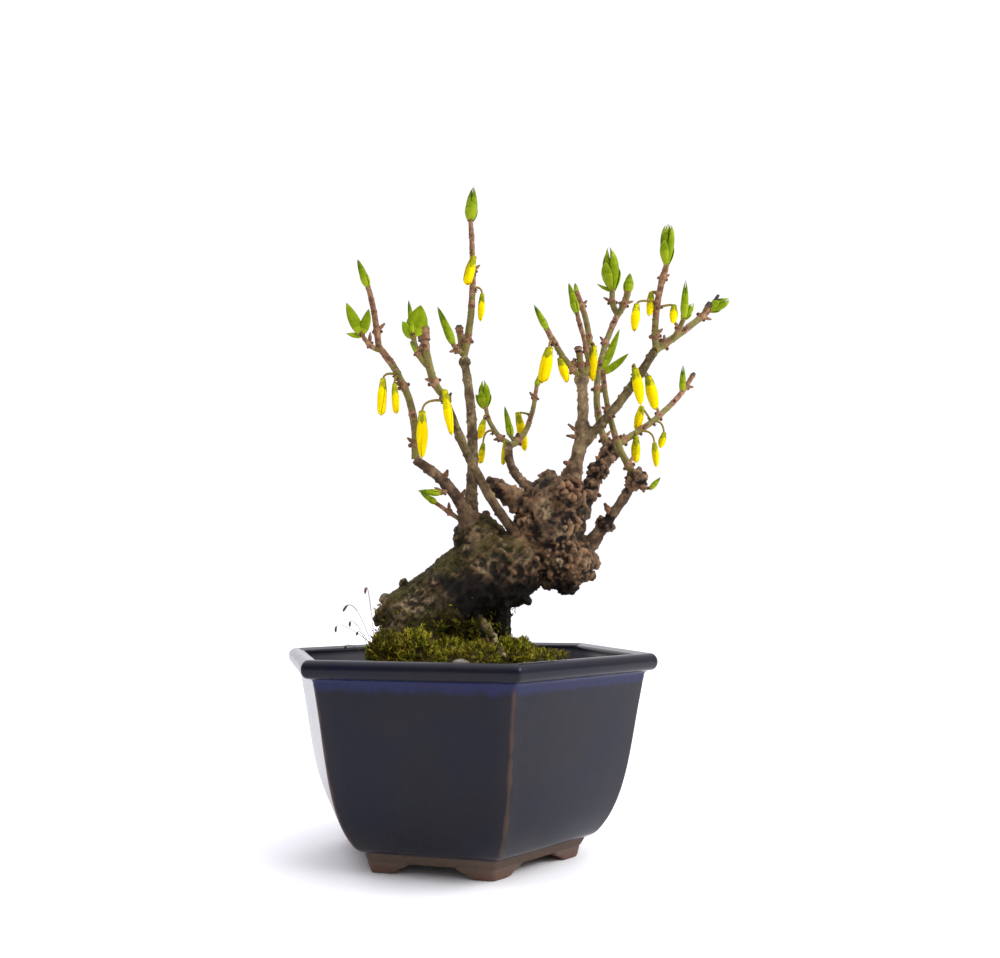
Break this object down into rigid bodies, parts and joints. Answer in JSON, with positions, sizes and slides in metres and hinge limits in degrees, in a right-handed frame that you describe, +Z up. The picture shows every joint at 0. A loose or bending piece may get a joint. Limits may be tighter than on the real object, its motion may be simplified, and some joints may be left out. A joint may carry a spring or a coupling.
{
  "type": "weeping forsythia bonsai in a pot",
  "caption": "Gnarled forsythia bonsai with a leaning trunk, bare twigs, early leaf shoots and hanging yellow buds, in a six-sided dark glazed pot on corner feet.",
  "frame": {"origin": "under the middle of the whole plant and pot, on the surface that the pot stands on", "axes": "+Z up; +X to the right and +Y to the back of the side that shows the tree best"},
  "size_m": [0.1572, 0.1296, 0.2347],
  "materials": {
    "glaze": "gloss",
    "earth": "matte",
    "moss": "matte",
    "bark": "matte",
    "bough_bark": "matte",
    "twig": "matte",
    "leaf": "satin",
    "petal": "satin"
  },
  "bodies": {
    "root": {"pot": "glaze", "soil": "earth", "moss_left": "moss", "moss_front": "moss", "moss_right": "moss", "moss_back": "moss", "trunk": "bark", "tall_bough": "bough_bark", "stub_bough": "bough_bark", "slanting_bough": "bough_bark", "curved_bough": "bough_bark", "main_bough": "bough_bark", "long_bough": "bough_bark", "gnarled_bough": "bough_bark", "low_bough": "bough_bark", "left_outer_spray": "twig", "tall_spray": "twig", "slanting_spray": "twig", "curved_spray": "twig", "main_spray": "twig", "high_leaf_spray": "twig", "right_spray": "twig", "long_spray": "twig", "low_spray": "twig", "low_shoot": "leaf", "stub_shoot": "leaf", "foot_shoot": "leaf", "slanting_blossom": "petal", "long_bough_blossom": "petal"}
  },
  "joints": []
}
